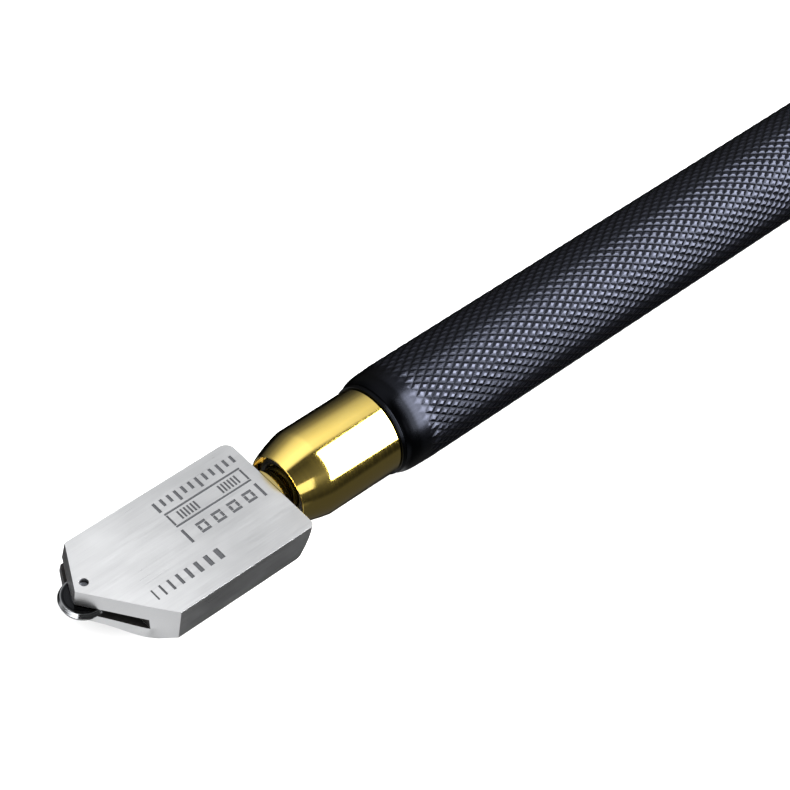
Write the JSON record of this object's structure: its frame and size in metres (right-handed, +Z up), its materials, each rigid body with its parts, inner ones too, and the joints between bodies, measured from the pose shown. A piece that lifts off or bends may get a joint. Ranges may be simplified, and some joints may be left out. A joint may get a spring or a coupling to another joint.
{
  "type": "glass cutter",
  "caption": "Oil-fed pencil glass cutter with a wide flat steel head, a small wheel, a turned brass collar and a knurled black barrel.",
  "frame": {"origin": "middle of the base of the object's box, as the cutter lies on a table with the head's wide faces level", "axes": "+X runs along the handle from the wheel to the rear cap, +Z is up, out of the head's wide top face, and the head's point is off centre towards +Y"},
  "size_m": [0.175, 0.014, 0.012],
  "materials": {
    "head_steel": "ground and fine brushed stainless steel",
    "wheel_carbide": "ground tungsten carbide",
    "pin_steel": "hardened steel",
    "brass": "polished and lacquered brass",
    "black_aluminium": "diamond knurled, black anodised",
    "black_rubber": "moulded nitrile rubber",
    "felt": "pressed wool felt"
  },
  "bodies": {
    "handle": {"barrel": "black_aluminium", "nose_collar": "brass", "retaining_screw": "pin_steel", "mouth_o_ring": "black_rubber", "front_o_ring": "black_rubber", "spring_retainer": "brass", "felt_filter": "felt", "valve_spring": "pin_steel"},
    "valve": {"valve_plunger": "brass", "valve_seal": "black_rubber"},
    "head": {"cutter_head": "head_steel", "head_stem": "brass", "oil_wick": "felt", "wheel_axle": "pin_steel"},
    "wheel": {"cutting_wheel": "wheel_carbide"},
    "cap_seal": {"rear_cap_o_ring": "black_rubber"},
    "cap": {"rear_cap": "brass"}
  },
  "joints": [
    {"name": "head_press", "type": "slide", "parent": "handle", "child": "valve", "axis": [1, 0, 0], "range_m": [0, 0.0008], "stiffness_N_per_m": 500, "springref_m": -0.004, "deforming": ["valve_spring"]},
    {"name": "head_swivel", "type": "hinge", "parent": "valve", "child": "head", "pos_m": [-0.06148, 0, 0.006], "axis": [1, 0, 0], "range_deg": [-10, 10]},
    {"name": "wheel_spin", "type": "hinge", "parent": "head", "child": "wheel", "pos_m": [-0.08492, 0.00191, 0.0054], "axis": [0, 0, 1], "continuous": true},
    {"name": "cap_travel", "type": "slide", "parent": "handle", "child": "cap_seal", "axis": [1, 0, 0], "range_m": [0, 0.007]},
    {"name": "cap_turn", "type": "hinge", "parent": "cap_seal", "child": "cap", "pos_m": [0.07557, 0, 0.006], "axis": [1, 0, 0], "range_deg": [0, 2520]}
  ],
  "couplings": [
    {"joint": "cap_travel", "follows": "cap_turn", "m_per_rad": 0.00015915}
  ]
}
